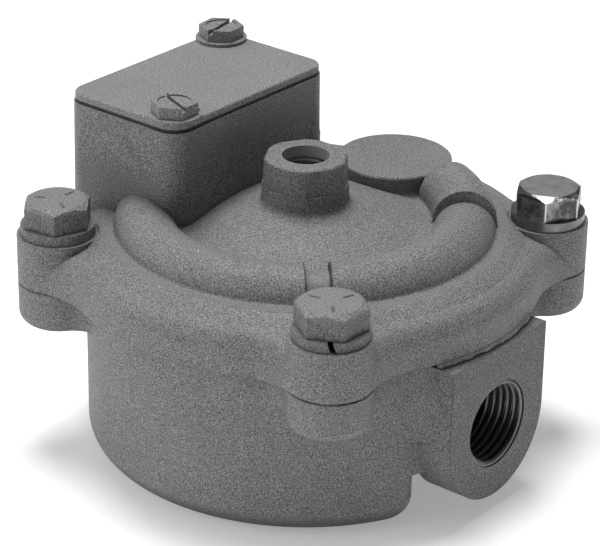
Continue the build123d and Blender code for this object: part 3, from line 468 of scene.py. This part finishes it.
def dress_nodes():
    """Every CAD node gets its finish."""
    inlet = (INLET_R, (1, 2), (0, INLET_Z), 0, INLET_END_X)
    control = (CONTROL_R, (0, 1), (0, 0), 2, CONTROL_END_Z)
    body_paint = painted_casting("body_paint", 0.185, [inlet], seam=True, hollow_shadow=0.5, port_face=True)
    # The control bore is painted paler than the casting, as painted light that lifts its shade.
    cover_paint = painted_casting("cover_paint", 0.185, [control], seam=True, notch=True, hollow_shadow=0.2,
                                  bare_or_lit_bore=0.42, shine=0.0)
    # Painted light: the bead's paint is paler than the casting's, as a lit ridge, with little crevice shade.
    painted_casting("bead_paint", 0.23, crevice_shadow_amount=0.1)
    # Painted shade: the grade dashes are painted darker than the bolt heads, standing in for their shadowed
    # edges.
    painted_casting("dash_paint", 0.12, crevice_shadow_amount=0.3)
    hardware_paint = painted_casting("hardware_paint", 0.205, head_sides=True)
    plate_paint = painted_casting("plate_paint", 0.215)
    bolt_plate = plated_bolt("bolt_plate")
    washer_plate = bright_metal("washer_plate", 0.22, 0.3)
    dull_plate = bright_metal("dull_plate", 0.5, 0.34)
    rubber = soft_material("black_rubber", 0.02, 0.55, 0.0004, 0.00003)
    gasket = soft_material("sheet_gasket", 0.045, 0.8, 0.0005, 0.00008)
    phenolic = soft_material("phenolic", 0.03, 0.4, 0.0008, 0.00003, (1.0, 0.85, 0.7))
    aluminium = bright_metal("turned_aluminium", 0.75, 0.3, (1, 1, 12))
    brass = bright_metal("turned_brass", 0.7, 0.25, (1, 1, 12), (1.0, 0.76, 0.4))
    stainless = bright_metal("drawn_stainless", 0.55, 0.25, (1, 1, 6))
    finishes = {
        "painted_casting": cover_paint, "painted_steel": hardware_paint, "zinc_plate": dull_plate,
        "black_rubber": rubber, "fibre_gasket": gasket, "machined_aluminium": aluminium,
        "turned_brass": brass, "stainless": stainless, "phenolic": phenolic,
    }
    own_finishes = {
        "sump_body": body_paint, "box_cover_plate": plate_paint,
        "cover_bolt_plated": bolt_plate, "lock_washer_plated": washer_plate,
    }
    slots = {s["node"]: s["material_slot"] for s in frame["record"]["subparts"]}
    for name, node in NODES.items():
        material = own_finishes.get(name, finishes[slots[name]])
        if not node.material_slots:
            node.data.materials.append(material)
        for slot in node.material_slots:
            slot.material = material


# ---------------------------------------------------------------- pieces added to the castings
def mesh_object(name, vertices, faces, material, smooth=True):
    """A mesh from vertices in metres that rides on the housing."""
    mesh = bpy.data.meshes.new(name)
    mesh.from_pydata([tuple(v) for v in vertices], [], faces)
    mesh.validate()
    if smooth:
        mesh.shade_smooth()
    mesh.materials.append(material)
    obj = bpy.data.objects.new(name, mesh)
    bpy.context.collection.objects.link(obj)
    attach(obj, "housing")
    return obj


def closed_run(steps, sides):
    """Faces of a closed run of steps + 1 rings, each of so many sides, with a cap at both ends."""
    faces = []
    for k in range(steps):
        for j in range(sides):
            a, b = k * sides + j, k * sides + (j + 1) % sides
            faces.append((a, b, b + sides, a + sides))
    faces.append(tuple(range(sides)))
    faces.append(tuple(range((steps + 1) * sides - 1, steps * sides - 1, -1)))
    return faces


LUG_PLACES = [(LUG, -LUG), (-LUG, -LUG), (-LUG, LUG), (LUG, LUG)]
SPOT_R = 0.0094
SHOULDER_Z = 0.0548
SHOULDER_SLOPE = 0.28
RING_FOOT_R = 0.0443
STEP_R = 0.0473
FILLET_END_R = 0.0510
FILLET_TUCK = 0.0006      # edges of the run go this far under the casting's surface
FILLET_LIFT = 0.00008
FILLET_SINK = 0.001
FILLET_START = -150.0     # degrees about the valve axis
FILLET_END = 64.0
FILLET_FADE = 7.0
FILLET_STEPS = 428
FILLET_POINTS = 24
FILLET_BOW = 1.25         # how hollow the run is
FILLET_LAP = 0.0004       # the run starts to fall this far inside the step
FILLET_CUT = 0.0001       # steps by which the run is cut back from a lug's spot face


def shoulder_fillet(material):
    """A smooth run over the step that the solids have between the heater ring's foot and the shoulder."""
    vertices = []
    for k in range(FILLET_STEPS + 1):
        degrees = FILLET_START + (FILLET_END + FILLET_FADE - FILLET_START) * k / FILLET_STEPS
        fade = min(1.0, max(0.0, (FILLET_END + FILLET_FADE - degrees) / FILLET_FADE))
        turn = math.radians(degrees)
        cos, sin = math.cos(turn), math.sin(turn)
        end_r = FILLET_END_R
        while min(math.hypot(end_r * cos - x, end_r * sin - y) for x, y in LUG_PLACES) < SPOT_R:
            end_r -= FILLET_CUT
        rows = []
        for j in range(FILLET_POINTS):
            r = RING_FOOT_R + (end_r - RING_FOOT_R) * j / (FILLET_POINTS - 1)
            cone = SHOULDER_Z - SHOULDER_SLOPE * (r - RING_FOOT_R)
            share = max(0.0, (r - STEP_R + FILLET_LAP) / (FILLET_END_R - STEP_R + FILLET_LAP))
            drop = SHOULDER_SLOPE * (FILLET_END_R - RING_FOOT_R) * share ** FILLET_BOW
            z = SHOULDER_Z + FILLET_LIFT * (1 - share) - drop
            rows.append((r, cone + (max(z, cone - FILLET_LIFT / 4) - cone) * fade))
        tuck_r = end_r + FILLET_TUCK
        tuck_z = SHOULDER_Z - SHOULDER_SLOPE * (tuck_r - RING_FOOT_R)
        rows += [(tuck_r, tuck_z - FILLET_TUCK / 2), (tuck_r, tuck_z - FILLET_SINK),
                 (RING_FOOT_R - FILLET_TUCK, SHOULDER_Z - FILLET_SINK),
                 (RING_FOOT_R - FILLET_TUCK, SHOULDER_Z)]
        vertices += [(r * cos, r * sin, z) for r, z in rows]
    faces = closed_run(FILLET_STEPS, len(rows))
    piece = mesh_object("shoulder_fillet", vertices, faces, material)


BEAD_R = 0.0546           # rough bead between the port block's top and the flange
BEAD_Z = 0.04182
BEAD_THICK = 0.00112
BEAD_HALF_WIDTH = 0.0176
BEAD_STEPS = 120
BEAD_SIDES = 12
BEAD_LUMP = 0.28          # share of its thickness by which it varies
BEAD_WANDER = 0.00018
BEAD_END = 0.0012         # length over which its ends thin out
BEAD_TIP = 0.15


def port_bead(material):
    """The rough cast bead left where the flange's underside runs over the inlet block."""
    vertices = []
    for k in range(BEAD_STEPS + 1):
        y = BEAD_HALF_WIDTH * (2 * k / BEAD_STEPS - 1)
        turn = math.asin(y / BEAD_R)
        lump = noise.noise(Vector((y * 420, 3.1, 0.7))) + 0.5 * noise.noise(Vector((y * 1100, 8.2, 1.9)))
        end = min(1.0, (BEAD_HALF_WIDTH - abs(y)) / BEAD_END + BEAD_TIP)
        thick = BEAD_THICK * (0.95 + BEAD_LUMP * lump) * end
        shift = BEAD_WANDER * noise.noise(Vector((y * 300, 5.5, 4.4)))
        for j in range(BEAD_SIDES):
            angle = 2 * math.pi * j / BEAD_SIDES
            r = BEAD_R + shift + thick * math.cos(angle)
            vertices.append((r * math.cos(turn), r * math.sin(turn), BEAD_Z + thick * math.sin(angle)))
    faces = closed_run(BEAD_STEPS, BEAD_SIDES)
    piece = mesh_object("port_bead", vertices, faces, material)


SPRING_LOW_Z = 0.036
SPRING_HIGH_Z = 0.044
SPRING_R = 0.0092
SPRING_WIRE_R = 0.00075
SPRING_TURNS = 4.0
SPRING_FLAT_TURNS = 0.75  # closed turns at each end
SPRING_STEPS = 240
SPRING_SIDES = 12
SPRING_GAP = 0.00006


def return_spring():
    """A coil spring with closed ends, drawn at one fixed length in place of the CAD spring; the real spring
    shortens as the piston comes down on it.
    """
    low = SPRING_LOW_Z + SPRING_WIRE_R + SPRING_GAP
    rise = SPRING_HIGH_Z - SPRING_LOW_Z - 2 * (SPRING_WIRE_R + SPRING_GAP)
    open_turns = SPRING_TURNS - 2 * SPRING_FLAT_TURNS
    vertices = []
    for k in range(SPRING_STEPS + 1):
        turns = SPRING_TURNS * k / SPRING_STEPS
        share = min(1.0, max(0.0, (turns - SPRING_FLAT_TURNS) / open_turns))
        z = low + rise * share
        cos, sin = math.cos(2 * math.pi * turns), math.sin(2 * math.pi * turns)
        for j in range(SPRING_SIDES):
            angle = 2 * math.pi * j / SPRING_SIDES
            r = SPRING_R + SPRING_WIRE_R * math.cos(angle)
            vertices.append((r * cos, r * sin, z + SPRING_WIRE_R * math.sin(angle)))
    faces = closed_run(SPRING_STEPS, SPRING_SIDES)
    piece = mesh_object("coil_spring", vertices, faces, NODES["return_spring"].material_slots[0].material)
    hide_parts("return_spring")
    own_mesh(piece)


HEAD_TOP_Z = 0.0624
DASHES = {                # lug: directions of the three grade dashes
    0: (-168.0, -48.0, 72.0),
    1: (-150.0, -30.0, 90.0),
    2: (-140.0, -20.0, 100.0),
}
DASH_NEAR_R = 0.0028
DASH_FAR_R = 0.0054
DASH_HALF_WIDTH = 0.00032
DASH_RISE = 0.00022
DASH_EASE = 0.6           # share of the half width taken off at the top


def grade_dashes(material):
    """Raised radial grade dashes on the painted bolt heads."""
    vertices, faces = [], []
    for lug, turns in DASHES.items():
        x, y = LUG_PLACES[lug]
        for turn in turns:
            cos, sin = math.cos(math.radians(turn)), math.sin(math.radians(turn))
            start = len(vertices)
            levels = ((-DASH_RISE, 0.0), (DASH_RISE * 0.5, 0.0), (DASH_RISE, DASH_HALF_WIDTH * DASH_EASE))
            for rise, ease in levels:
                for along, across in ((DASH_NEAR_R + ease, -1), (DASH_FAR_R - ease, -1),
                                      (DASH_FAR_R - ease, 1), (DASH_NEAR_R + ease, 1)):
                    offset = across * (DASH_HALF_WIDTH - ease)
                    vertices.append((x + along * cos - offset * sin, y + along * sin + offset * cos,
                                     HEAD_TOP_Z + rise))
            for level in range(2):
                for k in range(4):
                    a, b = start + 4 * level + k, start + 4 * level + (k + 1) % 4
                    faces.append((a, b, b + 4, a + 4))
            faces.append(tuple(start + k for k in (3, 2, 1, 0)))
            faces.append(tuple(start + 8 + k for k in range(4)))
    piece = mesh_object("grade_dashes", vertices, faces, material, smooth=False)


THREAD_STEPS = 10         # rows in one pitch
THREAD_SIDES = 96
THREAD_TAPER = 1 / 32     # radius lost per unit of depth
THREAD_SKIN = 0.00004
THREAD_START = 0.45       # part of a pitch at which the thread meets the mouth
THREAD_STEEP = 1.25       # flanks steeper than the pitch's own, so that crest and root are flat
THREAD_ROOT = 0.12
THREADS = [               # name, mouth, way in, side, bore, length, pitch, depth, finish
    ("inlet_thread", (0.0563, 0, INLET_Z), (-1, 0, 0), (0, 1, 0), INLET_R,
     0.0172, 0.00181, 0.00125, "thread_metal"),
    ("exhaust_thread", (0, 0, 0.0004), (0, 0, 1), (1, 0, 0), 0.00735,
     0.0058, 0.00141, 0.0005, "thread_metal"),
    ("conduit_thread", (-0.0519, 0.00275, 0.0665), (1, 0, 0), (0, 1, 0), 0.00915,
     0.0072, 0.00181, 0.0007, "thread_metal"),
    ("control_thread", (0, 0, 0.0690), (0, 0, -1), (1, 0, 0), CONTROL_R,
     0.0085, 0.00141, 0.0004, "shaded_thread_metal"),
]


def pipe_thread(name, mouth, inward, side, radius, length, pitch, depth, material):
    """A closed ring lining a bore, its inner face cut with a tapered helical thread."""
    inward, side = Vector(inward), Vector(side)
    other = inward.cross(side)
    rows = int(length / pitch * THREAD_STEPS)
    vertices, faces = [], []
    for row in range(rows + 1):
        along = length * row / rows
        for k in range(THREAD_SIDES):
            turn = k / THREAD_SIDES
            phase = (along / pitch - turn + THREAD_START) % 1.0
            crest = 1 - abs(2 * phase - 1)
            crest = min(1.0, max(0.0, crest * THREAD_STEEP - THREAD_ROOT))
            r = radius - THREAD_SKIN * 2 - THREAD_TAPER * along - depth * crest
            angle = 2 * math.pi * turn
            spot = math.cos(angle) * side + math.sin(angle) * other
            vertices.append(Vector(mouth) + along * inward + r * spot)
    for end in (length, 0.0):
        for k in range(THREAD_SIDES):
            angle = 2 * math.pi * k / THREAD_SIDES
            spot = math.cos(angle) * side + math.sin(angle) * other
            vertices.append(Vector(mouth) + end * inward + (radius - THREAD_SKIN) * spot)
    loops = rows + 3
    for row in range(loops):
        for k in range(THREAD_SIDES):
            here, onward = row * THREAD_SIDES, ((row + 1) % loops) * THREAD_SIDES
            after = (k + 1) % THREAD_SIDES
            faces.append((here + k, here + after, onward + after, onward + k))
    mesh_object(name, vertices, faces, material)


def add_threads():
    """Pipe threads in the four ports."""
    bright_metal("thread_metal", 0.17, 0.34)
    bright_metal("shaded_thread_metal", 0.20, 0.5)
    for *shape, finish in THREADS:
        pipe_thread(*shape, bpy.data.materials[finish])


add_camera()
add_studio()
dress_nodes()
add_threads()
shoulder_fillet(bpy.data.materials["cover_paint"])
port_bead(bpy.data.materials["bead_paint"])
grade_dashes(bpy.data.materials["dash_paint"])
return_spring()
